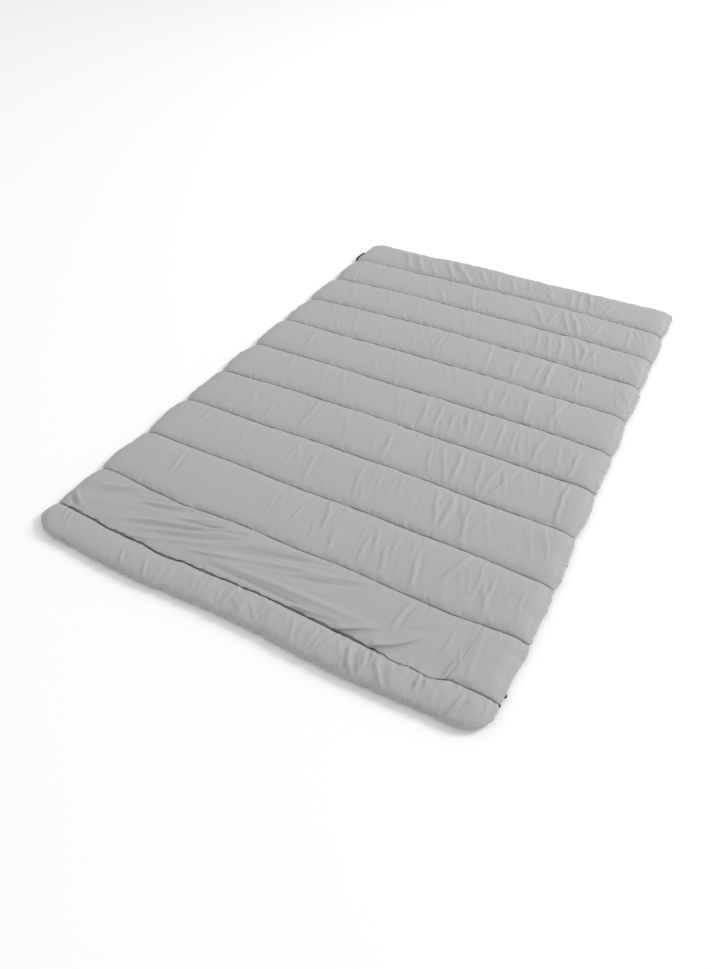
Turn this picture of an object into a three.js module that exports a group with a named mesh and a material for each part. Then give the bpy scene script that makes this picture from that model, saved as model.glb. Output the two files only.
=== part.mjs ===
// A quilted duvet lying flat: one filled body sewn into channels, a cloth pocket panel over the
// second channel, and a dark tape sewn under each side edge.
// Millimetres, +Z up. X runs across the duvet, Y from its narrow foot roll (-Y) to its far end (+Y).
// The origin is the centre of the footprint, on the surface the duvet lies on.
import * as THREE from 'three';

// Driving dimensions.
const WIDTH = 1300;
const FOOT_ROLL = 100; // depth of the narrow first channel
const POCKET_CHANNEL = 168; // depth of the second channel, under the pocket panel
const PITCH = 196; // depth of each plain channel
const PLAIN_CHANNELS = 9;
const CROWN = 28; // height of a full channel's crown, less half the thickness at a sewn line
const SEAM_HEIGHT = 17; // height of the sewn lines
const SEAM_THICK = 5; // the two cloths and flattened filling at a sewn line
const DROOP = 6; // how much lower the sewn rim lies all round
const PANEL_THICK = 1.4;
const TAPE_THICK = 1.2;

const HALF = WIDTH / 2;
const LENGTH = FOOT_ROLL + POCKET_CHANNEL + PITCH * PLAIN_CHANNELS;
const END_ROUND = 62; // distance over which a channel's end fills out to its crown
const RIM = 17; // sewn side rim that lies level underneath
const FOOT_CORNER = 74; // corner radii, seen from above
const FAR_CORNER = 34;
const CHANNELS = PLAIN_CHANNELS + 2;
const LAST = CHANNELS - 1;
const POCKET = 1; // index of the channel the panel lies on

// Seam positions along Y from the foot edge, first and last entries being the two end edges.
const SEAMS = [0, FOOT_ROLL];
for (let i = 0; i <= PLAIN_CHANNELS; i += 1) {
  SEAMS.push(FOOT_ROLL + POCKET_CHANNEL + PITCH * i);
}

// A filled tube's section: 0 at its seams, 1 at its crown, steep beside the seams. t runs 0 to 1.
const tube = (t) => Math.max(0, 1 - Math.abs(2 * t - 1) ** 2.6) ** 0.4;

// Fills out from 0 at an edge to 1 at the given depth inside it.
const fillOut = (distance, depth) => (distance >= depth ? 1 : tube((distance / depth) * 0.5));

// The foot edge and the first two sewn lines run unevenly: x, and how far from the straight line.
const DRIFTS = [
  [[-540, 3], [-390, -4], [-270, -6], [-190, 0], [-60, 5], [40, 5], [200, -2], [300, -4], [400, 0], [500, 5]],
  [
    [-640, 3], [-540, -3], [-440, -11], [-340, -12], [-270, -18],
    [-190, -11], [50, -6], [350, -13], [490, -13], [520, -4],
  ],
  [
    [-590, 3], [-440, -7], [-340, -13], [-240, -3], [-140, 1],
    [50, -3], [150, 3], [350, -3], [430, -5], [600, 7],
  ],
];

// How far the middle of each further line bows away from the foot, up to the far edge.
const BOWS = [0, 0, 0, 5, 10, 12, 9, 13, 25, 21, 21, 5];

// Goes smoothly from one [place, amount] point to the next.
function drift(points, place) {
  const next = points.findIndex(([at]) => at > place);
  if (next < 1) {
    return points.at(next)[1];
  }
  const [[x0, y0], [x1, y1]] = points.slice(next - 1, next + 1);
  return THREE.MathUtils.lerp(y0, y1, THREE.MathUtils.smoothstep(place, x0, x1));
}

// Sewn lines bow, and wander a little along their length.
function seamY(index, x) {
  const straight = SEAMS[index] - LENGTH / 2;
  if (index < DRIFTS.length) {
    return straight + drift(DRIFTS[index], x);
  }
  const across = x / HALF;
  const wander = 2 * Math.sin(across * 5.1 + index * 1.9) + 1.3 * Math.sin(across * 11.3 + index * 4.3);
  return straight + BOWS[index] * (1 - across * across) + wander;
}

// How far each side bulges out in the channels, and how far each seam pulls it in.
const LEFT = { bulge: 2, drawIn: 18 };
const RIGHT = { bulge: -4, drawIn: 9 };

// Places where a side is pulled in further: side, place in channels, reach in channels, how far.
const PULLS = [
  [1, 0.45, 0.5, 14],
  [1, 1.4, 0.32, 14],
  [1, 1.7, 0.05, 10],
  [1, 2.38, 0.12, 7],
];

// Half the width at channel c, fraction u, on one side (-1 or 1): bulged in the channel, drawn in at
// the seams, a little uneven from channel to channel, with round corners.
function halfWidth(c, u, side) {
  const along = c + u;
  const uneven = 1.8 * Math.sin(along * 4.1 + side * 1.3) + Math.sin(along * 9.7 + side * 2.2);
  const { bulge, drawIn } = side < 0 ? LEFT : RIGHT;
  let half = HALF + bulge - drawIn * (1 - tube(u)) + uneven;
  const depth = SEAMS[c + 1] - SEAMS[c];
  const corners = [[0, u * depth, FOOT_CORNER], [LAST, (1 - u) * depth, FAR_CORNER]];
  for (const [channel, inside, radius] of corners) {
    if (c === channel && inside < radius) {
      half -= radius - Math.sqrt(radius ** 2 - (radius - inside) ** 2);
    }
  }
  return half;
}

// How far a side's outer part is pulled in at a place along it.
const PULL_FROM = 0.85; // across share
function pull(along, side) {
  let total = 0;
  for (const [where, place, reach, far] of PULLS) {
    total += where === side ? far * Math.exp(-(((along - place) / reach) ** 2)) : 0;
  }
  return total;
}

// Plan position of the point at channel c, fraction u and across share s (-1 to 1).
function plan(c, u, s) {
  const side = Math.sign(s);
  const outer = Math.max(0, (Math.abs(s) - PULL_FROM) / (1 - PULL_FROM));
  const x = s * halfWidth(c, u, side) - side * outer * pull(c + u, side);
  const y = THREE.MathUtils.lerp(seamY(c, x), seamY(c + 1, x), u);
  return { x, y, edge: (1 - Math.abs(s)) * HALF };
}

// Crown height above the seams: the narrow channels hold less, and no channel is filled evenly.
function fill(c, x) {
  const full = CROWN - SEAM_HEIGHT;
  const share = [0.95, 0.7][c] ?? 1;
  const across = x / HALF;
  const uneven = 0.05 * Math.sin(across * 4.3 + c * 2.1) + 0.045 * Math.sin(across * 9.7 + c * 3.7);
  return full * share * (c === POCKET ? 1 : 1 + uneven);
}

// Height of a sewn line, which droops to the rim all round.
function seamHeight(c, u, edge) {
  const fromEnd = { 0: u * FOOT_ROLL, [LAST]: (1 - u) * PITCH };
  const inside = Math.max(0, Math.min(edge - RIM, fromEnd[c] ?? END_ROUND));
  return SEAM_HEIGHT - DROOP * (1 - fillOut(inside, END_ROUND));
}

function topPoint(c, u, s) {
  const { x, y, edge } = plan(c, u, s);
  const rise = fill(c, x) * tube(u) * fillOut(edge, END_ROUND);
  return new THREE.Vector3(x, y, seamHeight(c, u, edge) + SEAM_THICK / 2 + rise);
}

// The underside is pressed flat on the surface between the seams, and lifts to them and to the rim.
function underPoint(c, u, s) {
  const { x, y, edge } = plan(c, u, s);
  const inRim = Math.max(0, edge - RIM);
  const press = Math.min(1, 1.9 * tube(u)) * Math.min(1, 1.3 * fillOut(inRim, END_ROUND - RIM));
  return new THREE.Vector3(x, y, (seamHeight(c, u, edge) - SEAM_THICK / 2) * (1 - press));
}

// Every [channel, fraction] row from one end of the duvet to the other.
function rows(fractions) {
  const list = [];
  for (let c = 0; c < CHANNELS; c += 1) {
    fractions.forEach((u) => list.push([c, u]));
  }
  list.push([LAST, 1]);
  return list;
}

// Across shares: close together where the channel ends round over, even between.
function acrossShares(inside) {
  const edgeShares = [0, 4, RIM, 32, END_ROUND].map((d) => 1 - d / HALF);
  const inner = edgeShares[edgeShares.length - 1];
  const list = edgeShares.map((share) => -share);
  for (let i = 1; i < inside; i += 1) {
    list.push(THREE.MathUtils.lerp(-inner, inner, i / inside));
  }
  return list.concat([...edgeShares].reverse());
}

// Collects indexed triangles into one geometry.
class Skin {
  constructor() {
    this.points = [];
    this.triangles = [];
  }

  add(point) {
    this.points.push(point);
    return this.points.length - 1;
  }

  // Adds a grid of points and its faces, and returns the grid of indices. Flipped, it faces down.
  grid(table, flipped) {
    const index = table.map((line) => line.map((point) => this.add(point)));
    for (let i = 0; i + 1 < index.length; i += 1) {
      for (let j = 0; j + 1 < index[i].length; j += 1) {
        this.quad(index[i][j], index[i][j + 1], index[i + 1][j + 1], index[i + 1][j], flipped);
      }
    }
    return index;
  }

  quad(a, b, c, d, flipped) {
    this.triangle(a, b, c, flipped);
    this.triangle(a, c, d, flipped);
  }

  triangle(a, b, c, flipped) {
    this.triangles.push(...(flipped ? [a, c, b] : [a, b, c]));
  }

  // Closes the rim between an upper and a lower line of points, stepping along the one that lags.
  zipUp(upper, lower, flipped) {
    let i = 0;
    let j = 0;
    while (i + 1 < upper.length || j + 1 < lower.length) {
      if ((i + 1) * (lower.length - 1) <= (j + 1) * (upper.length - 1)) {
        this.triangle(upper[i], lower[j], upper[i + 1], flipped);
        i += 1;
      } else {
        this.triangle(upper[i], lower[j], lower[j + 1], flipped);
        j += 1;
      }
    }
  }

  geometry() {
    const geometry = new THREE.BufferGeometry();
    const numbers = this.points.flatMap((point) => [point.x, point.y, point.z]);
    geometry.setAttribute('position', new THREE.Float32BufferAttribute(numbers, 3));
    geometry.setIndex(this.triangles);
    geometry.computeVertexNormals();
    return geometry;
  }
}

// Closes an upper and a lower skin whose four edges run the same way, into one solid.
function closedSolid(upperTable, lowerTable) {
  const skin = new Skin();
  const upper = skin.grid(upperTable, false);
  const lower = skin.grid(lowerTable, true);
  const line = (index, j) => index.map((row) => row.at(j));
  skin.zipUp(upper[0], lower[0], false);
  skin.zipUp(upper.at(-1), lower.at(-1), true);
  skin.zipUp(line(upper, 0), line(lower, 0), true);
  skin.zipUp(line(upper, -1), line(lower, -1), false);
  return skin.geometry();
}

// The filled body: crowned channels above, pressed flat below, a thin sewn rim all round.
const SHARES = acrossShares(20);
const UNDER_SHARES = acrossShares(9);
const TOP_ROWS = [0, 0.035, 0.12, 0.32, 0.68, 0.88, 0.965];
const UNDER_ROWS = [0, 0.14, 0.4, 0.7, 0.86];

function bodyGeometry() {
  const top = rows(TOP_ROWS).map(([c, u]) => SHARES.map((s) => topPoint(c, u, s)));
  const under = rows(UNDER_ROWS).map(([c, u]) => UNDER_SHARES.map((s) => underPoint(c, u, s)));
  return closedSolid(top, under);
}

// A point on the body's top, which runs straight between its columns.
function builtTop(c, u, s) {
  const next = Math.max(1, SHARES.findIndex((share) => share >= s));
  const [from, to] = SHARES.slice(next - 1, next + 1);
  return topPoint(c, u, from).lerp(topPoint(c, u, to), (s - from) / (to - from));
}

// The pocket panel: a thin cloth over the second channel, from the left side to a hemmed edge near
// the right. Long slanting folds fan over its left half, and its loose foot edge bunches at the right.
const PANEL_LEFT = -0.985; // across shares
const PANEL_RIGHT = 0.79;
const PANEL_LEAN = 0.03; // the hemmed edge leans this far right at the far seam
const PANEL_GAP = 0.8; // clearance above the body
const PANEL_FOLDS = [
  // across share, fraction of the channel, slant in across share per channel, width, height
  [-0.86, 0.45, 0.5, 0.05, 3.2],
  [-0.66, 0.5, 0.62, 0.055, 4.2],
  [-0.45, 0.5, 0.66, 0.05, 3.6],
  [-0.24, 0.45, 0.6, 0.05, 3.2],
  [0.02, 0.4, 0.5, 0.05, 2.4],
  [0.36, 0.3, 0.42, 0.045, 3.4],
  [0.56, 0.3, 0.38, 0.045, 4],
];

function panelLift(s, u) {
  let lift = 0;
  for (const [at, middle, slant, width, height] of PANEL_FOLDS) {
    const off = (s - at - slant * (u - middle)) / width;
    lift += height * Math.exp(-off * off) * Math.sin(Math.PI * THREE.MathUtils.clamp(u, 0, 1)) ** 0.7;
  }
  const bunch = Math.exp(-(((s - 0.52) / 0.2) ** 2)) * Math.exp(-((u / 0.16) ** 2));
  return lift + 5 * bunch;
}

function panelGeometry() {
  const fractions = [0.035, 0.12, 0.22, 0.32, 0.5, 0.68, 0.88, 0.965];
  const covered = SHARES.filter((share) => share > PANEL_LEFT && share < PANEL_RIGHT - 0.02);
  const between = covered.slice(1).map((share, i) => (share + covered[i]) / 2);
  const columns = [PANEL_LEFT, ...covered, ...between].sort((a, b) => a - b);
  const level = (extra) => fractions.map((u) => [...columns, PANEL_RIGHT + PANEL_LEAN * u].map((s) => {
    const point = builtTop(POCKET, u, s);
    const side = THREE.MathUtils.smoothstep(s - PANEL_LEFT, 0, 0.1);
    point.z += PANEL_GAP + panelLift(s, u) * side + extra;
    return point;
  }));
  return closedSolid(level(PANEL_THICK), level(0));
}

// The side tapes lie hidden under the side rims, and stand out past them in a few short places,
// where the outer edge may also curl up.
const TAPE_WIDTH = 10;
const TAPE_GAP = 0.3;
const TAPE_HIDDEN = 3; // how far inside the edge a tape lies elsewhere
const TAPE_BEND = 4; // how far outside the edge the curl starts
// side, place in channels from the foot, half length in channels, how far out and up its edge stands
const TAPE_SHOWS = [
  [1, 1.0, 0.03, 3, 0],
  [1, 1.17, 0.035, 2.5, 0],
  [1, 2.39, 0.03, 2.5, 0],
  [1, 3.5, 0.025, 1.5, 0],
  [-1, 4.97, 0.05, 5, 0],
  [-1, 10.26, 0.36, 9, 9],
];

// The side edge as built underneath, which runs straight between its rows.
function builtEdge(along, side) {
  const c = Math.floor(along);
  const stops = [...UNDER_ROWS, 1];
  const next = stops.findIndex((stop) => stop > along - c);
  const [from, to] = stops.slice(next - 1, next + 1);
  const [start, end] = [from, to].map((u) => plan(c, u, side));
  const part = (along - c - from) / (to - from);
  return { x: THREE.MathUtils.lerp(start.x, end.x, part), y: THREE.MathUtils.lerp(start.y, end.y, part) };
}

function sideTapeGeometry(side) {
  const shows = TAPE_SHOWS.filter(([where]) => where === side);
  const even = rows(UNDER_ROWS).map(([c, u]) => c + u).slice(4, -1);
  const steps = [-1.3, -0.9, -0.5, 0.5, 0.9, 1.3];
  const close = shows.flatMap(([, place, reach]) => steps.map((step) => place + step * reach));
  const stops = [...even, ...close].sort((a, b) => a - b);
  const level = (z) => stops.map((along) => {
    const { x, y } = builtEdge(along, side);
    let out = -TAPE_HIDDEN;
    let up = 0;
    for (const [, place, reach, outward, upward] of shows) {
      const near = Math.exp(-(((along - place) / reach) ** 4));
      out += (TAPE_HIDDEN + outward) * near;
      up += upward * Math.max(0, (near - 0.7) / 0.3);
    }
    const bend = Math.min(out - 0.5, TAPE_BEND);
    const section = [[out - TAPE_WIDTH, 0], [bend, 0], [out, up]];
    const points = section.map(([reach, rise]) => new THREE.Vector3(x + side * reach, y, z + rise));
    return side > 0 ? points : points.reverse();
  });
  const height = SEAM_HEIGHT - DROOP - SEAM_THICK / 2 - TAPE_THICK - TAPE_GAP;
  return closedSolid(level(height + TAPE_THICK), level(height));
}

const material = (color, roughness) => new THREE.MeshStandardMaterial({ color, roughness, metalness: 0 });
const duvet = new THREE.Group();
duvet.name = 'duvet';

const parts = [
  ['duvet_body', bodyGeometry(), material(0xaeaeb0, 0.85)],
  ['pocket_panel', panelGeometry(), material(0xaaaaac, 0.8)],
  ['side_tape_left', sideTapeGeometry(-1), material(0x2a2a2d, 0.7)],
  ['side_tape_right', sideTapeGeometry(1), material(0x2a2a2d, 0.7)],
];

const footprint = new THREE.Box3();
for (const [, geometry] of parts) {
  footprint.union(new THREE.Box3().setFromBufferAttribute(geometry.getAttribute('position')));
}
const centre = footprint.getCenter(new THREE.Vector3());
for (const [name, geometry, look] of parts) {
  geometry.translate(-centre.x, -centre.y, 0);
  const mesh = new THREE.Mesh(geometry, look);
  mesh.name = name;
  duvet.add(mesh);
}

export default duvet;
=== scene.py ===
import math
import random

import bmesh
import bpy
import numpy as np
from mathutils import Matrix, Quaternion, Vector
from mathutils.bvhtree import BVHTree


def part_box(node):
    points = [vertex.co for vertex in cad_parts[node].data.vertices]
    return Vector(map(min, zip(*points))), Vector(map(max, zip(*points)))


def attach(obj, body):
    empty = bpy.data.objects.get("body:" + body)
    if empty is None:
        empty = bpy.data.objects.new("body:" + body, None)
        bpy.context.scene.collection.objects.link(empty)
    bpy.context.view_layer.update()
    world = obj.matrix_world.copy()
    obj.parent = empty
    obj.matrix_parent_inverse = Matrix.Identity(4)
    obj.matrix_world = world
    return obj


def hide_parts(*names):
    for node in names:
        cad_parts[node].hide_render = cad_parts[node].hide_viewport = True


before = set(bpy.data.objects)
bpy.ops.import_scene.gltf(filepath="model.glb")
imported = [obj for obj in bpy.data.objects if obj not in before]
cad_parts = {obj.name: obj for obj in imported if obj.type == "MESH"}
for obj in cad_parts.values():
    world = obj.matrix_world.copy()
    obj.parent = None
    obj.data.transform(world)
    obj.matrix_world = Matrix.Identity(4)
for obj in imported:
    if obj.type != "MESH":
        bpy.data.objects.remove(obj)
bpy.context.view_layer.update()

# ---------------------------------------------------------------------------
# Filled body. Two light polyester cloths with loose fibre filling between them,
# sewn through in straight lines so that the filling stays in crosswise channels.
# The sewn lines hold the cloth down and gather it, so it puckers beside them.
body_low, body_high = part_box("duvet_body")
# Lengths are in metres, x runs across and y from the foot to the far end. Channels count from the foot.
WIDTH = 1.3
HALF = WIDTH / 2
FOOT_ROLL, POCKET_CHANNEL, PITCH = 0.100, 0.168, 0.196
PLAIN_CHANNELS = 9
CHANNELS = PLAIN_CHANNELS + 2
POCKET = 1
SEAMS = [0.0, FOOT_ROLL] + [FOOT_ROLL + POCKET_CHANNEL + PITCH * i for i in range(PLAIN_CHANNELS + 1)]
LENGTH = SEAMS[-1]
# How far the middle of each line, from the foot edge to the far edge, bows towards the far end.
BOWS = [0, 0, 0, 0.005, 0.010, 0.012, 0.009, 0.013, 0.025, 0.021, 0.021, 0.005]
# The foot edge and the first two sewn lines run unevenly: x, and how far from the straight line, in mm.
DRIFTS = [
    [
        (-540, 3), (-390, -4), (-270, -6), (-190, 0), (-60, 5),
        (40, 5), (200, -2), (300, -4), (400, 0), (500, 5),
    ],
    [
        (-640, 3), (-540, -3), (-440, -11), (-340, -12), (-270, -18),
        (-190, -11), (50, -6), (350, -13), (490, -13), (520, -4),
    ],
    [
        (-590, 3), (-440, -7), (-340, -13), (-240, -3), (-140, 1),
        (50, -3), (150, 3), (350, -3), (430, -5), (600, 7),
    ],
]
# The pocket panel's two ends, in shares of half the width, and how far it presses the filling down.
PANEL_LEFT, PANEL_RIGHT, PANEL_PRESS = -0.985, 0.79, 0.006
# Waves in the other sewn lines, in the sides and in how full a channel is. Each wave has its height,
# its turns and how much it shifts from one line, side or channel to the next.
SEAM_WAVES = [(0.002, 5.1, 1.9), (0.0013, 11.3, 4.3)]
SIDE_WAVES = [(0.0018, 4.1, 1.3), (0.001, 9.7, 2.2)]
FULL_WAVES = [(0.05, 4.3, 2.1), (0.045, 9.7, 3.7)]
# How far each side stands out from half the width in a channel, and is drawn in at a seam.
BULGE_LEFT, DRAW_IN_LEFT = 0.002, 0.018
BULGE_RIGHT, DRAW_IN_RIGHT = -0.004, 0.009
# Places where a side is pulled in further: side, place in channels, reach in channels, how far.
# The pull starts at this share of the way out from the middle.
PULL_FROM = 0.85
PULLS = [(1, 0.45, 0.5, 0.014), (1, 1.4, 0.32, 0.014), (1, 1.7, 0.05, 0.010), (1, 2.38, 0.12, 0.007)]
# The filling fills out over this depth from a side or an end, and the rim droops.
END_ROUND = 0.062
RIM = 0.017
FOOT_CORNER, FAR_CORNER = 0.074, 0.034
# Heights of a crown and of a seam's middle, the thickness at a seam, and the droop of seams at the rim.
CROWN, SEAM_HEIGHT, SEAM_THICK, DROOP = 0.028, 0.017, 0.005, 0.006
# How full the foot roll and the channel under the pocket are, beside a plain channel.
FOOT_FULL, POCKET_FULL = 0.95, 0.7
TUBE_FLATNESS, TUBE_STEEPNESS = 2.6, 0.4
# How quickly the filling presses the lower cloth down, away from a seam and away from the rim.
PRESS_BY_SEAM, PRESS_BY_RIM = 1.9, 1.3


def tube(t):
    """Section of a filled tube: 0 at its seams, 1 at its crown."""
    return np.maximum(0.0, 1 - np.abs(2 * t - 1) ** TUBE_FLATNESS) ** TUBE_STEEPNESS


def fill_out(distance, depth):
    """Fills out from 0 at an edge to 1 at the given depth inside it."""
    return tube(np.minimum(distance / depth, 1.0) * 0.5)


def drift(points, place):
    """Goes smoothly from one (place, amount) point to the next."""
    at, amount = (np.array(values) / 1000 for values in zip(*points))
    step = np.clip(np.searchsorted(at, place) - 1, 0, len(at) - 2)
    part = np.clip((place - at[step]) / (at[step + 1] - at[step]), 0, 1)
    return amount[step] + (amount[step + 1] - amount[step]) * part * part * (3 - 2 * part)


def wavy(place, row, waves):
    """Waves along a place, shifted from row to row."""
    return sum(high * np.sin(place * turns + row * apart) for high, turns, apart in waves)


def seam_y(index, x):
    """Where sewn line number index runs, at x across the duvet."""
    across = x / HALF
    bow = np.take(BOWS, index) * (1 - across**2)
    wander = wavy(across, index, SEAM_WAVES)
    for line, points in enumerate(DRIFTS):
        wander = np.where(index == line, drift(points, x), wander)
    return np.take(SEAMS, index) - LENGTH / 2 + bow + wander


def half_width(c, u, side):
    """Half the duvet's width on one side: bulged in a channel, drawn in at seams, round corners."""
    uneven = wavy(c + u, side, SIDE_WAVES)
    bulge = np.where(side < 0, BULGE_LEFT, BULGE_RIGHT)
    draw_in = np.where(side < 0, DRAW_IN_LEFT, DRAW_IN_RIGHT)
    half = HALF + bulge - draw_in * (1 - tube(u)) + uneven
    depth = np.take(SEAMS, c + 1) - np.take(SEAMS, c)
    for channel, inside, radius in ((0, u * depth, FOOT_CORNER), (CHANNELS - 1, (1 - u) * depth, FAR_CORNER)):
        short = np.clip(radius - inside, 0, radius) * (c == channel)
        half = half - (radius - np.sqrt(radius**2 - short**2))
    return half


def plan(along, s):
    """Where a point lies: its channel, its share of the channel, x, y and its distance from the side.

    along counts channels from the foot, and s runs across from -1 to 1.
    """
    c = np.minimum(along.astype(int), CHANNELS - 1)
    u = along - c
    x = s * half_width(c, u, np.sign(s))
    outer = np.maximum(0, (np.abs(s) - PULL_FROM) / (1 - PULL_FROM))
    for side, place, reach, far in PULLS:
        x = x - side * outer * far * np.exp(-(((along - place) / reach) ** 2)) * (np.sign(s) == side)
    y = seam_y(c, x) * (1 - u) + seam_y(c + 1, x) * u
    return c, u, x, y, (1 - np.abs(s)) * HALF


def seam_height(c, u, edge):
    """Height of a sewn line, which droops to the rim all round."""
    from_end = np.where(c == 0, u * FOOT_ROLL, np.where(c == CHANNELS - 1, (1 - u) * PITCH, END_ROUND))
    inside = np.maximum(0, np.minimum(edge - RIM, from_end))
    return SEAM_HEIGHT - DROOP * (1 - fill_out(inside, END_ROUND))


def top_height(along, s):
    """Height of the upper cloth as sewn, before the filling pushes it out."""
    c, u, x, _, edge = plan(along, s)
    share = np.where(c == 0, FOOT_FULL, np.where(c == POCKET, POCKET_FULL, 1.0))
    uneven = wavy(x / HALF, c, FULL_WAVES)
    full = (CROWN - SEAM_HEIGHT) * share * (1 + uneven * (c != POCKET))
    return seam_height(c, u, edge) + SEAM_THICK / 2 + full * tube(u) * fill_out(edge, END_ROUND)


def under_height(along, s):
    """Height of the lower cloth: pressed flat between the seams, lifted at them and at the rim."""
    c, u, _, _, edge = plan(along, s)
    in_rim = np.maximum(0, edge - RIM)
    press = np.minimum(1, PRESS_BY_SEAM * tube(u))
    press = press * np.minimum(1, PRESS_BY_RIM * fill_out(in_rim, END_ROUND - RIM))
    return (seam_height(c, u, edge) - SEAM_THICK / 2) * (1 - press)


# Grid of each cloth: columns across, rows in each channel, how much the rows crowd to the seams.
UPPER_GRID = (230, 16, 0.78)
LOWER_GRID = (50, 4, 0.4)
SIDE_CROWD = 0.3


def cloth_grid(bm, columns, rows_each, crowd, height):
    """Adds a grid over the whole footprint, its rows crowded towards the seams, at the given height.

    Gives back its points, where each lies across and along, and whether it lies on a sewn line or end.
    """
    made = bmesh.ops.create_grid(bm, x_segments=columns, y_segments=rows_each * CHANNELS, size=1.0)["verts"]
    flat = np.array([v.co[:] for v in made])
    t = flat[:, 0]
    s = np.clip((1 - SIDE_CROWD) * t + SIDE_CROWD * np.sin(t * math.pi / 2), -1, 1)
    row = np.rint((flat[:, 1] + 1) / 2 * rows_each * CHANNELS).astype(int)
    part = (row % rows_each) / rows_each
    along = row // rows_each + part - crowd * np.sin(2 * math.pi * part) / (2 * math.pi)
    x, y = plan(along, s)[2:4]
    for vert, place in zip(made, np.stack([x, y, height(along, s)], 1)):
        vert.co = place
    return made, s, along, row % rows_each == 0


def read_points(mesh):
    points = np.empty(len(mesh.vertices) * 3)
    mesh.vertices.foreach_get("co", points)
    return points.reshape(-1, 3)


def write_points(mesh, points):
    mesh.vertices.foreach_set("co", points.ravel())
    mesh.update()


def read_floats(mesh, name):
    values = np.empty(len(mesh.vertices))
    mesh.attributes[name].data.foreach_get("value", values)
    return values


def baked(piece):
    """The piece's mesh with its modifiers applied."""
    graph = bpy.context.evaluated_depsgraph_get()
    graph.update()
    finished = piece.evaluated_get(graph)
    return bpy.data.meshes.new_from_object(finished, preserve_all_data_layers=True, depsgraph=graph)


def add_piece(name, mesh):
    piece = bpy.data.objects.new(name, mesh)
    bpy.context.scene.collection.objects.link(piece)
    return piece


bm = bmesh.new()
across_layer = bm.verts.layers.float.new("across")
along_layer = bm.verts.layers.float.new("along")
top_layer = bm.verts.layers.float.new("top")
upper, upper_s, upper_along, upper_seam = cloth_grid(bm, *UPPER_GRID, top_height)
upper_rim = [e for e in bm.edges if e.is_boundary]
held = {vert for vert, seam in zip(upper, upper_seam) if seam}
held |= {v for e in upper_rim for v in e.verts}
lower, lower_s, lower_along, _ = cloth_grid(bm, *LOWER_GRID, under_height)
lower_rim = [e for e in bm.edges if e.is_boundary and e not in set(upper_rim)]
bmesh.ops.reverse_faces(bm, faces=list({f for v in lower for f in v.link_faces}))
bmesh.ops.bridge_loops(bm, edges=upper_rim + lower_rim)
bmesh.ops.recalc_face_normals(bm, faces=bm.faces[:])
held |= set(lower)
for verts, shares, alongs, top in ((upper, upper_s, upper_along, 1.0), (lower, lower_s, lower_along, 0.0)):
    for vert, s, along in zip(verts, shares, alongs):
        vert[across_layer], vert[along_layer], vert[top_layer] = s, along, top
bm.verts.index_update()
held_indices = [v.index for v in held]
body_mesh = bpy.data.meshes.new("duvet_cover")
bm.to_mesh(body_mesh)
bm.free()
body = add_piece("duvet_cover", body_mesh)

# The filling pushes the cloth out while the sewn lines hold it, and the spare cloth gathers.
# The pocket panel holds the cloth under it flatter.
SWELL_FRAMES = 14
SWELL_CAP = 0.0014
PANEL_COVERS, PANEL_SWELL = 0.8, 0.15
before = read_points(body_mesh)
body.vertex_groups.new(name="sewn").add(held_indices, 1.0, "REPLACE")
swell = body.modifiers.new("swell", "CLOTH")
swell.settings.quality = 4
swell.settings.mass = 0.12
swell.settings.tension_stiffness = 12
swell.settings.compression_stiffness = 4
swell.settings.shear_stiffness = 4
swell.settings.bending_stiffness = 0.004
swell.settings.shrink_min = -0.035
swell.settings.use_pressure = True
swell.settings.uniform_pressure_force = 0.6
swell.settings.vertex_group_mass = "sewn"
swell.settings.effector_weights.gravity = 0
swell.collision_settings.use_collision = False
swell.point_cache.frame_start = 1
swell.point_cache.frame_end = SWELL_FRAMES
for step in range(1, SWELL_FRAMES + 1):
    bpy.context.scene.frame_set(step)
swollen = baked(body)
body.modifiers.clear()
after = read_points(swollen)
moved = after - before
reach = np.linalg.norm(moved, axis=1, keepdims=True)
moved *= SWELL_CAP * np.tanh(reach / SWELL_CAP) / np.maximum(reach, 1e-9)
before_along = read_floats(body_mesh, "along")
under_panel = (before_along > POCKET) & (before_along < POCKET + 1)
under_panel &= read_floats(body_mesh, "across") < PANEL_COVERS
moved[under_panel] *= PANEL_SWELL
write_points(body_mesh, before + moved)
bpy.data.meshes.remove(swollen)

smooth = body.modifiers.new("smooth", "SUBSURF")
smooth.levels = smooth.render_levels = 1
fine = baked(body)
body.modifiers.clear()
body.data = fine
fine.name = "duvet_cover"

# Gathers and creases. Each crosses its channel from the foot side to the far side, and its start
# and stop are shares of the way. The random ones are picked from these least and most values.
GATHERS, LONG_CREASES = 120, 46
GATHER_SLANT, LONG_SLANT, LONG_BEND = 0.5, 0.25, 0.3
GATHER_REACH_FOOT, GATHER_REACH_FAR = (0.06, 0.20), (0.10, 0.36)
GATHER_WIDTH, GATHER_HEIGHT = (0.0028, 0.0050), (-0.0008, 0.0022)
LONG_START, LONG_RUN = (0.03, 0.45), (0.40, 0.80)
LONG_WIDTH, LONG_HEIGHT = (0.0032, 0.0062), (0.0006, 0.0030)
# Creases lean to one side, and more so from channel to channel.
LEAN_AT_FOOT, LEAN_MORE = 0.12, 0.05
# Gathers lie thickest at this share of the way from the middle to the right side, and thin out over a reach.
CROWD_LEAST, CROWD_MORE, CROWD_AT, CROWD_REACH = 0.45, 0.85, 0.35, 0.42
# A crease wanders on its way, and a shallow dip runs on its right.
CREASE_WAVES = [(0.0022, 7.0, 90), (0.0012, 17.0, 210)]
DIP, DIP_AT = 0.3, 1.7
SEAM_FADE = 0.05
dice = random.Random(11)


def gather_crowd(s):
    """How thickly gathers lie across the duvet: more right of the middle."""
    return CROWD_LEAST + CROWD_MORE * math.exp(-(((s - CROWD_AT) / CROWD_REACH) ** 2))


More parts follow.
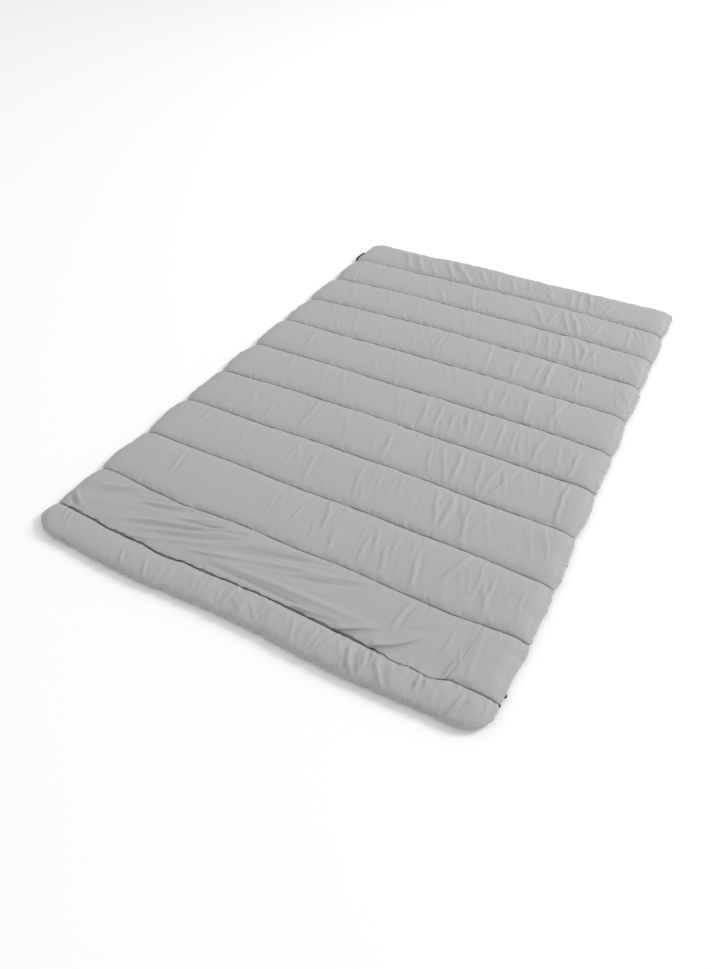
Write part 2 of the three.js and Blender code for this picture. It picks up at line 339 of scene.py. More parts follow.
def crease_depth(x, u, depth_y, crease):
    """How far one crease moves the cloth at x, u in its channel."""
    at, slant, bend, start, stop, width, height = crease
    middle = at + slant * (u - 0.5) * depth_y + bend * (u - 0.5) ** 2 * depth_y
    off = (x - middle - wavy(u, at, CREASE_WAVES)) / width
    along_it = np.clip((u - start) / (stop - start), 0, 1)
    if start <= 0:
        fade = np.cos(math.pi / 2 * along_it) ** 1.2 * np.clip(u / SEAM_FADE, 0, 1) ** 1.4
    elif stop >= 1:
        fade = np.sin(math.pi / 2 * along_it) ** 1.2 * np.clip((1 - u) / SEAM_FADE, 0, 1) ** 1.4
    else:
        fade = np.sin(math.pi * along_it) ** 0.8
    shape = np.exp(-off * off) - DIP * np.exp(-((off - DIP_AT) ** 2))
    return height * fade * shape


def channel_creases(c):
    """Random gathers at both seams of a channel and longer creases right across it."""
    depth_y = SEAMS[c + 1] - SEAMS[c]
    lean = -(LEAN_AT_FOOT + LEAN_MORE * c)
    made = []
    for at_foot in (True, False):
        for _ in range(GATHERS):
            s = dice.uniform(-0.97, 0.97)
            keep = dice.random() < gather_crowd(s)
            reach_in = dice.uniform(*(GATHER_REACH_FOOT if at_foot else GATHER_REACH_FAR))
            start, stop = (0, reach_in) if at_foot else (1 - reach_in, 1)
            slant = lean + dice.uniform(-GATHER_SLANT, GATHER_SLANT)
            width, height = dice.uniform(*GATHER_WIDTH), dice.uniform(*GATHER_HEIGHT)
            if keep:
                made.append((s * HALF, slant, 0, start, stop, width, height))
    for _ in range(LONG_CREASES):
        s = dice.uniform(-0.95, 0.95)
        keep = dice.random() < gather_crowd(s)
        start = dice.uniform(*LONG_START)
        stop = min(0.98, start + dice.uniform(*LONG_RUN))
        slant, bend = lean + dice.uniform(-LONG_SLANT, LONG_SLANT), dice.uniform(-LONG_BEND, LONG_BEND)
        width, height = dice.uniform(*LONG_WIDTH), dice.uniform(*LONG_HEIGHT)
        if keep:
            made.append((s * HALF, slant, bend, start, stop, width, height))
    return made


# Creases that stand out: channel, place across, slant, bend, start, stop, width, height.
MARKED_CREASES = [
    (0, -0.357, -0.43, 0, 0.15, 0.62, 0.0045, 0.0045),
    (0, -0.278, -0.30, 0, 0.05, 0.68, 0.0045, 0.0045),
    (0, -0.130, -0.14, 0, 0.30, 0.78, 0.0045, 0.0038),
    (0, -0.020, 0.00, 0, 0.02, 0.45, 0.0110, -0.0014),
    (0, -0.025, -1.60, 0, 0.22, 0.65, 0.0055, 0.0038),
    (0, 0.030, -1.00, 0, 0.22, 0.68, 0.0055, 0.0038),
    (0, 0.295, -0.35, 0.3, 0.02, 0.85, 0.0060, 0.0069),
    (0, 0.310, -0.35, 0.3, 0.02, 0.88, 0.0050, -0.0020),
    (0, 0.328, -0.10, 0, 0.22, 0.92, 0.0050, 0.0057),
    (0, 0.336, -0.10, 0, 0.45, 0.97, 0.0045, -0.0023),
    (0, 0.365, -0.50, 0.3, 0.04, 0.88, 0.0060, 0.0063),
    (0, 0.380, -0.50, 0.3, 0.04, 0.85, 0.0060, -0.0016),
    (0, 0.456, -0.05, 0, 0.32, 0.93, 0.0045, 0.0057),
    (0, 0.4665, -0.10, 0, 0.35, 0.95, 0.0040, -0.0025),
    (0, 0.553, 0.30, 0, 0.08, 0.78, 0.0050, 0.0057),
    (0, 0.543, 0.30, 0, 0.00, 0.60, 0.0050, -0.0016),
    (0, 0.633, -0.70, 0, 0.45, 0.85, 0.0045, -0.0016),
    (0, -0.425, -0.90, 0, 0.65, 0.97, 0.0050, -0.0013),
    (2, -0.442, -0.23, 0, 0.22, 0.97, 0.0045, -0.0014),
    (2, -0.452, -0.23, 0, 0.28, 0.92, 0.0050, 0.0032),
    (2, -0.170, -0.27, 0, 0.15, 0.88, 0.0060, -0.0008),
    (2, -0.042, -0.10, 0, 0.35, 0.70, 0.0050, 0.0036),
    (2, 0.0125, -0.10, 0, 0.12, 0.55, 0.0045, -0.0013),
    (2, 0.040, -0.28, 0, 0.40, 0.97, 0.0050, 0.0053),
    (2, 0.080, -0.15, 0, 0.12, 0.55, 0.0050, 0.0048),
    (2, 0.170, -0.15, 0, 0.12, 0.70, 0.0060, 0.0036),
    (2, 0.225, -0.25, 0, 0.08, 0.65, 0.0060, 0.0040),
    (2, 0.255, -0.25, 0, 0.08, 0.60, 0.0050, -0.0010),
    (2, 0.310, -0.30, 0, 0.08, 0.70, 0.0060, 0.0048),
    (2, 0.323, -0.35, 0, 0.08, 0.75, 0.0050, -0.0011),
    (2, 0.395, 0.35, 0, 0.25, 0.97, 0.0070, 0.0053),
    (2, 0.380, 0.35, 0, 0.25, 0.92, 0.0060, -0.0013),
    (2, 0.365, 0.30, 0, 0.45, 0.97, 0.0060, -0.0010),
    (2, 0.490, -0.33, 0, 0.12, 0.75, 0.0060, 0.0033),
    (2, 0.540, 0.30, 0, 0.12, 0.80, 0.0070, -0.0012),
    (3, 0.035, -0.28, 0.2, 0.10, 0.90, 0.0055, 0.0038),
    (3, -0.115, -0.25, 0, 0.12, 0.75, 0.0050, 0.0035),
    (3, 0.275, -0.30, 0, 0.10, 0.92, 0.0065, 0.0042),
    (3, 0.312, -0.08, -0.3, 0.10, 0.90, 0.0080, 0.0052),
    (3, 0.335, -0.20, 0, 0.05, 0.80, 0.0065, -0.0014),
    (3, 0.365, -0.20, 0, 0.05, 0.85, 0.0065, 0.0045),
    (3, 0.400, 0.38, 0, 0.05, 0.70, 0.0060, 0.0048),
    (4, -0.242, -0.10, 0, 0.12, 0.90, 0.0055, 0.0036),
    (4, 0.035, -0.20, 0, 0.08, 0.75, 0.0060, 0.0030),
    (4, 0.170, -0.35, 0, 0.06, 0.80, 0.0060, 0.0034),
    (4, 0.215, -0.42, 0, 0.05, 0.85, 0.0065, 0.0040),
    (4, 0.258, -0.14, 0, 0.05, 0.95, 0.0070, 0.0050),
    (4, 0.325, -0.22, 0, 0.08, 0.85, 0.0060, 0.0036),
    (4, 0.365, 0.12, 0, 0.10, 0.90, 0.0060, 0.0036),
    (4, 0.402, 0.28, 0, 0.08, 0.88, 0.0065, 0.0042),
    (4, 0.568, -0.05, 0, 0.04, 0.97, 0.0065, 0.0052),
    (4, 0.610, 0.50, 0, 0.55, 0.97, 0.0050, -0.0016),
    (5, 0.065, -0.18, 0, 0.10, 0.80, 0.0060, 0.0028),
    (5, 0.115, -0.18, 0, 0.08, 0.85, 0.0060, 0.0034),
    (5, 0.165, -0.15, 0, 0.12, 0.80, 0.0060, 0.0030),
    (5, 0.212, -0.14, 0, 0.08, 0.88, 0.0065, 0.0036),
    (5, 0.262, -0.12, 0, 0.10, 0.85, 0.0060, 0.0036),
    (5, 0.318, -0.16, 0, 0.06, 0.88, 0.0065, 0.0038),
    (5, 0.362, -0.10, 0, 0.10, 0.80, 0.0060, 0.0032),
    (5, 0.440, 0.02, 0, 0.03, 0.90, 0.0070, 0.0046),
    (5, 0.556, 0.05, 0, 0.03, 0.70, 0.0060, 0.0042),
    (5, 0.608, -0.50, 0, 0.03, 0.35, 0.0050, 0.0046),
    (6, -0.468, -0.28, 0, 0.20, 0.85, 0.0065, 0.0034),
    (6, 0.215, -0.12, 0, 0.10, 0.80, 0.0065, 0.0030),
    (6, 0.258, -0.12, 0, 0.10, 0.85, 0.0065, 0.0032),
    (6, 0.342, -0.12, 0, 0.06, 0.80, 0.0070, 0.0042),
    (6, 0.435, 0.10, 0, 0.08, 0.90, 0.0075, 0.0036),
    (7, -0.060, 0.00, 0, 0.12, 0.90, 0.0055, 0.0026),
    (7, 0.130, -0.12, 0, 0.08, 0.92, 0.0065, 0.0034),
    (7, 0.230, -0.15, 0, 0.08, 0.80, 0.0065, 0.0036),
    (7, 0.312, -0.12, 0, 0.08, 0.85, 0.0065, 0.0034),
    (7, 0.348, -0.03, 0, 0.04, 0.97, 0.0080, 0.0055),
    (7, 0.412, 0.32, 0, 0.55, 0.97, 0.0070, 0.0042),
    (7, 0.447, -0.22, 0, 0.06, 0.85, 0.0060, 0.0034),
    (8, 0.245, -0.25, 0, 0.08, 0.88, 0.0070, 0.0038),
    (8, 0.287, -0.20, 0, 0.08, 0.90, 0.0070, 0.0038),
    (8, 0.330, -0.22, 0, 0.04, 0.95, 0.0070, 0.0048),
    (8, 0.385, -0.38, 0, 0.04, 0.96, 0.0070, 0.0050),
    (8, 0.418, -0.05, 0, 0.03, 0.75, 0.0070, 0.0050),
    (8, 0.448, 0.15, 0, 0.10, 0.85, 0.0060, 0.0032),
    (9, -0.220, -0.55, 0, 0.05, 0.55, 0.0080, 0.0036),
    (9, -0.090, -0.50, 0, 0.05, 0.65, 0.0080, 0.0034),
    (9, 0.185, -0.62, 0, 0.06, 0.80, 0.0090, 0.0050),
    (9, 0.245, 0.05, 0, 0.10, 0.85, 0.0070, 0.0036),
    (9, 0.292, -0.38, 0, 0.05, 0.90, 0.0075, 0.0050),
    (9, 0.328, -0.45, 0, 0.03, 0.85, 0.0085, 0.0056),
    (9, 0.420, 0.10, 0, 0.05, 0.80, 0.0070, 0.0032),
    (9, 0.530, -0.15, 0, 0.06, 0.80, 0.0070, 0.0034),
    (10, -0.450, -0.55, 0, 0.06, 0.85, 0.0105, 0.0056),
    (10, -0.395, -0.52, 0, 0.04, 0.90, 0.0105, 0.0056),
    (10, -0.335, -0.50, 0, 0.05, 0.70, 0.0085, 0.0034),
    (10, -0.258, -0.55, 0, 0.05, 0.92, 0.0110, 0.0062),
    (10, -0.203, -0.70, 0, 0.05, 0.92, 0.0120, 0.0062),
    (10, -0.165, -0.70, 0, 0.05, 0.92, 0.0120, -0.0024),
    (10, -0.112, -0.60, 0, 0.05, 0.85, 0.0090, 0.0048),
    (10, -0.045, -0.28, 0, 0.05, 0.85, 0.0075, 0.0038),
    (10, 0.020, -0.35, 0, 0.05, 0.60, 0.0070, 0.0032),
    (10, 0.090, -0.35, 0, 0.20, 0.90, 0.0070, 0.0032),
    (10, 0.175, -0.45, 0, 0.10, 0.80, 0.0080, 0.0042),
    (10, 0.262, -0.22, 0, 0.05, 0.90, 0.0080, 0.0044),
    (10, 0.300, -0.15, 0, 0.05, 0.80, 0.0070, 0.0036),
    (10, 0.337, -0.20, 0, 0.05, 0.92, 0.0075, 0.0048),
    (10, 0.425, 0.28, 0, 0.10, 0.92, 0.0070, 0.0040),
]

# How strong the random creases are, in the foot roll, under the pocket and in a plain channel.
FOOT_CREASED, POCKET_CREASED, PLAIN_CREASED = 1.2, 0.7, 0.8
MARKED_STRENGTH = 0.95
CREASE_REACH = 0.16
# Creases fade near the sides, in metres, and near the foot and far edges, in channels.
SIDE_FADE, FOOT_FADE, FAR_FADE = 0.02, 0.15, 0.12

points = read_points(fine)
s_of, along_of, top_of = (read_floats(fine, name) for name in ("across", "along", "top"))
c_of = np.minimum(along_of.astype(int), CHANNELS - 1)
u_of = along_of - c_of
x_of = points[:, 0]
push = np.zeros(len(points))
for c in range(CHANNELS):
    here = np.flatnonzero((c_of == c) & (top_of > 0.99))
    depth_y = SEAMS[c + 1] - SEAMS[c]
    random_strength = {0: FOOT_CREASED, POCKET: POCKET_CREASED}.get(c, PLAIN_CREASED)
    creases = [(random_strength, crease) for crease in channel_creases(c)]
    creases += [(MARKED_STRENGTH, mark[1:]) for mark in MARKED_CREASES if mark[0] == c]
    for strength, crease in creases:
        near = here[np.abs(x_of[here] - crease[0]) < CREASE_REACH]
        push[near] += strength * crease_depth(x_of[near], u_of[near], depth_y, crease)
edge_fade = np.clip((1 - np.abs(s_of)) * HALF / SIDE_FADE, 0, 1)
edge_fade *= np.clip(np.minimum(along_of / FOOT_FADE, (CHANNELS - along_of) / FAR_FADE), 0, 1)
push *= edge_fade
normals = np.array([v.normal[:] for v in fine.vertices])
points += normals * push[:, None]

# Under the pocket panel the filling is pressed lower, so the panel's folds can dip.
PRESS_FADE_RIGHT, PRESS_FADE_LEFT = 0.06, 0.05
covered = np.clip((PANEL_RIGHT - s_of) / PRESS_FADE_RIGHT, 0, 1)
covered *= np.clip((s_of - PANEL_LEFT) / PRESS_FADE_LEFT, 0, 1)
points[:, 2] -= PANEL_PRESS * covered * tube(u_of) * (c_of == POCKET) * top_of

# The edges all round are rippled, and the ripple dies away over these depths into the cloth.
RIPPLES = 7
RIPPLE_LENGTH, RIPPLE_HEIGHT = (0.016, 0.085), (0.0003, 0.0009)
FOOT_RIPPLE, FAR_RIPPLE, SIDE_RIPPLE = 0.030, 0.045, 0.022
# The far edge, like the foot edge, runs unevenly: x, and how far from its line, in mm.
FAR_EDGE = [
    (-620, 0), (-500, -9), (-360, -10), (-310, 2), (-90, 3), (0, -7),
    (150, -5), (300, 1), (430, 7), (540, 6), (620, 0),
]


def ripple(place, seed):
    """Small bumps along an edge."""
    bumps = random.Random(seed)
    total = np.zeros(len(place))
    for _ in range(RIPPLES):
        turn = 2 * math.pi * place / bumps.uniform(*RIPPLE_LENGTH) + bumps.uniform(0, 2 * math.pi)
        total += bumps.uniform(*RIPPLE_HEIGHT) * np.sin(turn)
    return total


from_foot = np.abs(points[:, 1] - seam_y(np.zeros(len(points), int), points[:, 0]))
points[:, 1] += ripple(points[:, 0], 11) * np.exp(-from_foot / FOOT_RIPPLE)
from_far = np.abs(points[:, 1] - seam_y(np.full(len(points), CHANNELS), points[:, 0]))
far_ripple = drift(FAR_EDGE, points[:, 0]) + ripple(points[:, 0], 14)
points[:, 1] += far_ripple * np.exp(-from_far / FAR_RIPPLE)
for side, seed in ((-1, 12), (1, 13)):
    points[:, 0] += ripple(points[:, 1], seed) * np.exp(-np.abs(side - s_of) * HALF / SIDE_RIPPLE)
points[:, 2] = np.maximum(points[:, 2], 0)
# The cover is centred on the CAD body, and the other pieces move with it.
shift = (np.array(body_low) + np.array(body_high)) / 2 - (points.min(0) + points.max(0)) / 2
shift[2] = 0
points += shift
write_points(fine, points)
for polygon in fine.polygons:
    polygon.use_smooth = True

# Painted shade: the cloth is painted darker along each sewn line, where its groove lies in shadow, widest at
# the first and unevenly at the others.
FIRST_LINE_WIDTH, LINE_WIDTH = 0.0022, 0.0017
LINE_UNEVEN = 0.24
near_seam = np.minimum(u_of + (along_of < 1), 1 - u_of + (along_of > CHANNELS - 1))
near_seam *= np.take(SEAMS, c_of + 1) - np.take(SEAMS, c_of)
nearest_line = np.rint(along_of)
line_width = np.where(np.abs(along_of - 1) < 0.5, FIRST_LINE_WIDTH, LINE_WIDTH)
uneven_shade = np.sin(41 * x_of + 5 * nearest_line) * np.sin(97 * x_of + 3 * nearest_line)
uneven_shade = np.where(nearest_line == 1, 1.0, 1 - LINE_UNEVEN + LINE_UNEVEN * uneven_shade)
# The painted shade goes into a point attribute that the cloth material reads.
sewn = fine.attributes.new("painted_shade", "FLOAT", "POINT")
sewn.data.foreach_set("value", np.exp(-((near_seam / line_width) ** 2)) * top_of * uneven_shade)
cover = BVHTree.FromPolygons(points.tolist(), [p.vertices[:] for p in fine.polygons])

# A ray from this high up finds the cover below it.
ABOVE = 0.2


def cover_height(x, y, beside):
    """Height of the cover's top at x, y, or the value given for beside it."""
    hit = cover.ray_cast(Vector((x, y, ABOVE)), Vector((0, 0, -1)))[0]
    return hit.z if hit else beside


# How dark the painted shade along sewn lines and deep creases gets, and how sharp the finest creases are.
PAINTED_SHADE_DARK = 0.72
RIDGE_SHARP = 9.0


def cloth_material(name, cool, warm, rough, crease_turn, crease_scale, crease_strength):
    """Fine plain-weave polyester: faint cooler and warmer patches, painted shade along sewn lines and
    creases, a weave and small wrinkles.
    """
    material = bpy.data.materials.new(name)
    material.use_nodes = True
    nodes, links = material.node_tree.nodes, material.node_tree.links
    shader = nodes["Principled BSDF"]
    shader.inputs["Sheen Weight"].default_value = 0.12
    shader.inputs["Sheen Roughness"].default_value = 0.4
    shader.inputs["Specular IOR Level"].default_value = 0.3
    where = nodes.new("ShaderNodeTexCoord").outputs["Object"]

    def noise(scale, detail, rough_part=0.5):
        node = nodes.new("ShaderNodeTexNoise")
        node.inputs["Scale"].default_value = scale
        node.inputs["Detail"].default_value = detail
        node.inputs["Roughness"].default_value = rough_part
        links.new(where, node.inputs["Vector"])
        return node.outputs["Fac"]

    def threads(direction):
        node = nodes.new("ShaderNodeTexWave")
        node.bands_direction = direction
        node.inputs["Scale"].default_value = 260.0
        node.inputs["Distortion"].default_value = 0.6
        node.inputs["Detail"].default_value = 0.0
        links.new(where, node.inputs["Vector"])
        return node.outputs["Fac"]

    def combine(operation, a, b):
        node = nodes.new("ShaderNodeMath")
        node.operation = operation
        for socket, value in zip(node.inputs, (a, b)):
            if isinstance(value, float):
                socket.default_value = value
            else:
                links.new(value, socket)
        return node.outputs[0]

    def bump(height, strength, distance, under=None):
        node = nodes.new("ShaderNodeBump")
        node.inputs["Strength"].default_value = strength
        node.inputs["Distance"].default_value = distance
        links.new(height, node.inputs["Height"])
        if under:
            links.new(under, node.inputs["Normal"])
        return node.outputs["Normal"]

    shade = nodes.new("ShaderNodeMix")
    shade.data_type = "RGBA"
    links.new(noise(scale=2.6, detail=4.0), shade.inputs["Factor"])
    shade.inputs["A"].default_value = (*cool, 1)
    shade.inputs["B"].default_value = (*warm, 1)
    weave = combine("MULTIPLY", threads("X"), threads("Y"))
    fleck = nodes.new("ShaderNodeMix")
    fleck.data_type = "RGBA"
    fleck.blend_type = "MULTIPLY"
    fleck.inputs["Factor"].default_value = 0.08
    links.new(shade.outputs["Result"], fleck.inputs["A"])
    links.new(noise(scale=420.0, detail=2.0), fleck.inputs["B"])
    # Painted shade: by this attribute the cloth is mixed towards near black along sewn lines and deep
    # creases.
    line = nodes.new("ShaderNodeAttribute")
    line.attribute_name = "painted_shade"
    painted_shade_mix = nodes.new("ShaderNodeMix")
    painted_shade_mix.data_type = "RGBA"
    links.new(combine("MULTIPLY", line.outputs["Fac"], PAINTED_SHADE_DARK), painted_shade_mix.inputs["Factor"])
    links.new(fleck.outputs["Result"], painted_shade_mix.inputs["A"])
    painted_shade_mix.inputs["B"].default_value = (0.035, 0.035, 0.038, 1)
    links.new(painted_shade_mix.outputs["Result"], shader.inputs["Base Color"])
    sheen_patches = nodes.new("ShaderNodeMapRange")
    sheen_patches.inputs["To Min"].default_value = rough - 0.06
    sheen_patches.inputs["To Max"].default_value = rough + 0.08
    links.new(noise(scale=9.0, detail=3.0), sheen_patches.inputs["Value"])
    links.new(sheen_patches.outputs["Result"], shader.inputs["Roughness"])
    stretch = nodes.new("ShaderNodeMapping")
    stretch.inputs["Rotation"].default_value = (0, 0, crease_turn)
    stretch.inputs["Scale"].default_value = crease_scale
    links.new(where, stretch.inputs["Vector"])
    streaks = nodes.new("ShaderNodeTexNoise")
    streaks.inputs["Scale"].default_value = 1.0
    streaks.inputs["Detail"].default_value = 1.5
    links.new(stretch.outputs["Vector"], streaks.inputs["Vector"])
    off_middle = combine("ABSOLUTE", combine("SUBTRACT", streaks.outputs["Fac"], 0.5), 0.0)
    thin_ridge = combine("SUBTRACT", 1.0, combine("MULTIPLY", off_middle, RIDGE_SHARP))
    thin_ridge.node.use_clamp = True
    patches = nodes.new("ShaderNodeMapRange")
    patches.inputs["From Min"].default_value = 0.50
    patches.inputs["From Max"].default_value = 0.70
    links.new(noise(scale=7.0, detail=2.0), patches.inputs["Value"])
    ridges = combine("MULTIPLY", thin_ridge, patches.outputs["Result"])
    fine_creases = bump(ridges, crease_strength, distance=0.0022)
    rumples = noise(scale=38.0, detail=3.0, rough_part=0.55)
    rumple = bump(rumples, strength=0.33, distance=0.0035, under=fine_creases)
    links.new(bump(weave, strength=0.25, distance=0.0003, under=rumple), shader.inputs["Normal"])
    return material


shell_cloth = cloth_material(
    "shell_cloth",
    cool=(0.392, 0.395, 0.404),
    warm=(0.412, 0.407, 0.405),
    rough=0.78,
    crease_turn=0.22,
    crease_scale=(40, 6, 6),
    crease_strength=0.36,
)
bpy.data.objects.remove(body)

# The cover is two pieces that meet at this sewn line, each closed there.
SPLIT = 5


def cover_part(name, keeps):
    """One end of the body, cut off along a sewn line and closed there."""
    bm = bmesh.new()
    bm.from_mesh(fine)
    along_layer = bm.verts.layers.float["along"]
    spare = [f for f in bm.faces if not keeps(sum(v[along_layer] for v in f.verts) / len(f.verts))]
    bmesh.ops.delete(bm, geom=spare, context="FACES")
    bmesh.ops.triangle_fill(bm, edges=[e for e in bm.edges if e.is_boundary], normal=(0, 1, 0))
    bmesh.ops.recalc_face_normals(bm, faces=bm.faces[:])
    mesh = bpy.data.meshes.new(name)
    bm.to_mesh(mesh)
    bm.free()
    mesh.materials.clear()
    mesh.materials.append(shell_cloth)
    part = add_piece(name, mesh)
    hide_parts("duvet_body")
    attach(part, "root")


cover_part("duvet_foot_half", lambda along: along < SPLIT)
cover_part("duvet_far_half", lambda along: along > SPLIT)

# ---------------------------------------------------------------------------
# Pocket panel. A single cloth laid over the second channel, sewn down at the left side and
# along both seams, with a folded hem at its right end. It holds no filling, so it is pulled
# into long slanting folds, and its foot edge is loose and bunched right of the middle.
PANEL_COLUMNS, PANEL_ROWS = 520, 72
PANEL_THICK = 0.0014
PANEL_CLEAR = 0.0007
# The panel starts just past its first seam and stops just short of the next, in channels.
PANEL_START, PANEL_SPAN = 0.016, 0.965
# Its right end leans, by this share of half the width, and its hem is folded under.
PANEL_LEAN = 0.03
HEM, HEM_THICK, HEM_STEP = 0.010, 0.0008, 0.004
# Where the foot edge is loose: its middle and reach across, its depth, how far it hangs over and lifts.
LOOSE_AT, LOOSE_REACH, LOOSE_DEPTH = 0.66, 0.14, 0.12
LOOSE_OVER, LOOSE_LIFT = 0.011, 0.003

# Folds: three points each, across from the middle and up from the foot edge; width; height.
PANEL_FOLDS = [
    ((-0.605, 0.165), (-0.525, 0.195), (-0.435, 0.245), 0.0180, -0.0060),
    ((-0.585, 0.205), (-0.535, 0.222), (-0.475, 0.250), 0.0080, 0.0034),
    ((-0.435, 0.212), (-0.365, 0.225), (-0.295, 0.255), 0.0062, 0.0046),
    ((-0.425, 0.200), (-0.345, 0.215), (-0.275, 0.250), 0.0070, -0.0036),
    ((-0.305, 0.200), (-0.255, 0.222), (-0.185, 0.255), 0.0052, 0.0042),
    ((-0.275, 0.190), (-0.205, 0.212), (-0.115, 0.250), 0.0052, 0.0042),
    ((-0.295, 0.190), (-0.225, 0.210), (-0.155, 0.248), 0.0052, -0.0036),
    ((-0.455, 0.125), (-0.365, 0.168), (-0.225, 0.208), 0.0062, 0.0046),
    ((-0.425, 0.125), (-0.335, 0.160), (-0.205, 0.195), 0.0070, -0.0042),
    ((-0.375, 0.125), (-0.275, 0.160), (-0.145, 0.225), 0.0062, 0.0042),
    ((-0.325, 0.130), (-0.225, 0.165), (-0.105, 0.220), 0.0062, -0.0036),
    ((-0.305, 0.118), (-0.215, 0.152), (-0.095, 0.200), 0.0062, 0.0036),
    ((-0.145, 0.195), (-0.045, 0.232), (0.075, 0.258), 0.0090, 0.0044),
    ((-0.145, 0.165), (-0.025, 0.205), (0.115, 0.250), 0.0100, -0.0044),
    ((0.075, 0.195), (0.155, 0.222), (0.235, 0.250), 0.0070, 0.0034),
    ((0.055, 0.175), (0.155, 0.200), (0.255, 0.240), 0.0080, -0.0030),
    ((-0.145, 0.126), (0.055, 0.136), (0.285, 0.138), 0.0090, 0.0046),
    ((-0.145, 0.112), (0.035, 0.112), (0.195, 0.109), 0.0060, -0.0034),
    ((0.345, 0.148), (0.342, 0.200), (0.357, 0.260), 0.0050, 0.0034),
    ((0.358, 0.150), (0.355, 0.200), (0.367, 0.255), 0.0050, -0.0026),
    ((-0.650, 0.178), (-0.615, 0.145), (-0.570, 0.118), 0.0055, 0.0050),
    ((-0.655, 0.160), (-0.620, 0.130), (-0.585, 0.112), 0.0055, -0.0050),
    ((0.375, 0.175), (0.415, 0.200), (0.455, 0.235), 0.0055, 0.0024),
    ((0.470, 0.130), (0.480, 0.170), (0.475, 0.215), 0.0055, 0.0020),
]
FOLD_STEPS = 24
FOLD_END = 0.04

# Tucks: deep creases that run up from the loose foot edge, the cloth on their left side standing
# over them. Three points each as above; width on the left; height; how dark the painted shade in the crease
# is.
PANEL_TUCKS = [
    ((0.120, 0.101), (0.180, 0.104), (0.235, 0.118), 0.012, 0.0040, 0.55),
    ((0.243, 0.093), (0.272, 0.110), (0.328, 0.141), 0.017, 0.0060, 0.80),
    ((0.335, 0.092), (0.378, 0.106), (0.432, 0.176), 0.019, 0.0064, 0.80),
    ((-0.400, 0.087), (-0.350, 0.098), (-0.300, 0.118), 0.010, 0.0030, 0.35),
    ((0.499, 0.098), (0.499, 0.120), (0.503, 0.150), 0.007, 0.0014, 0.60),
]
TUCK_STEEP = 0.0060
# Width of the painted shade along a tuck's crease, and how far it lies to the left.
TUCK_LINE, TUCK_LINE_LEFT = 0.0029, 0.001

# Besides them there are slanting streaks left of the middle, and small creases at both seams.
STREAKS, SMALL_CREASES = 34, 90


def from_curve(x, y, start, middle, stop):
    """Distance to a curve through three guide points, which side of it, and how far along it."""
    share = np.linspace(0, 1, FOLD_STEPS + 1)
    weights = ((1 - share) ** 2, 2 * share * (1 - share), share**2)
    curve_x = sum(weight * point[0] for weight, point in zip(weights, (start, middle, stop)))
    curve_y = sum(weight * point[1] for weight, point in zip(weights, (start, middle, stop))) - LENGTH / 2
    nearest = np.full(len(x), 1e9)
    place = np.zeros(len(x))
    left = np.zeros(len(x), bool)
    for step in range(FOLD_STEPS):
        run_x, run_y = curve_x[step + 1] - curve_x[step], curve_y[step + 1] - curve_y[step]
        t = ((x - curve_x[step]) * run_x + (y - curve_y[step]) * run_y) / (run_x**2 + run_y**2)
        t = np.clip(t, 0, 1)
        off = np.hypot(x - curve_x[step] - t * run_x, y - curve_y[step] - t * run_y)
        closer = off < nearest
        nearest = np.where(closer, off, nearest)
        place = np.where(closer, (step + t) / FOLD_STEPS, place)
        left = np.where(closer, run_x * (y - curve_y[step]) > run_y * (x - curve_x[step]), left)
    return nearest, left, place


def fold_height(x, y, fold):
    """How far one curved fold moves the cloth at points x, y."""
    nearest, _, place = from_curve(x, y, *fold[:3])
    width, height = fold[3:]
    fade = np.sin(math.pi * np.clip(place * (1 - 2 * FOLD_END) + FOLD_END, 0, 1)) ** 0.6
    return height * fade * np.exp(-((nearest / width) ** 2))


def tuck(x, y, crease):
    """How far one tuck lifts the cloth and how dark the painted shade in its crease is: wide on the left,
    steep on the right.
    """
    nearest, left, place = from_curve(x, y, *crease[:3])
    width, height, dark = crease[3:]
    fade = np.cos(math.pi / 2 * place) ** 0.8
    over = np.where(left, np.exp(-((nearest / width) ** 2)), np.exp(-((nearest / TUCK_STEEP) ** 2)))
    line = np.exp(-(((nearest + TUCK_LINE_LEFT * left) / TUCK_LINE) ** 2))
    return height * fade * over, dark * fade * line


bm = bmesh.new()
made = bmesh.ops.create_grid(bm, x_segments=PANEL_COLUMNS, y_segments=PANEL_ROWS, size=1.0)["verts"]
flat = np.array([v.co[:] for v in made])
up_panel = (flat[:, 1] + 1) / 2
right_end = PANEL_RIGHT + PANEL_LEAN * up_panel
s = PANEL_LEFT + (right_end - PANEL_LEFT) * (flat[:, 0] + 1) / 2
along = POCKET + (PANEL_START + PANEL_SPAN * up_panel)
_, u, x, y, _ = plan(along, s)
loose = np.exp(-(((s - LOOSE_AT) / LOOSE_REACH) ** 4))
reach_over = np.clip(1 - up_panel / LOOSE_DEPTH, 0, 1) ** 1.5
y = y - LOOSE_OVER * loose * reach_over + ripple(x, 15) * reach_over
lift = np.zeros(len(x))
for fold in PANEL_FOLDS:
    lift += fold_height(x, y, fold)
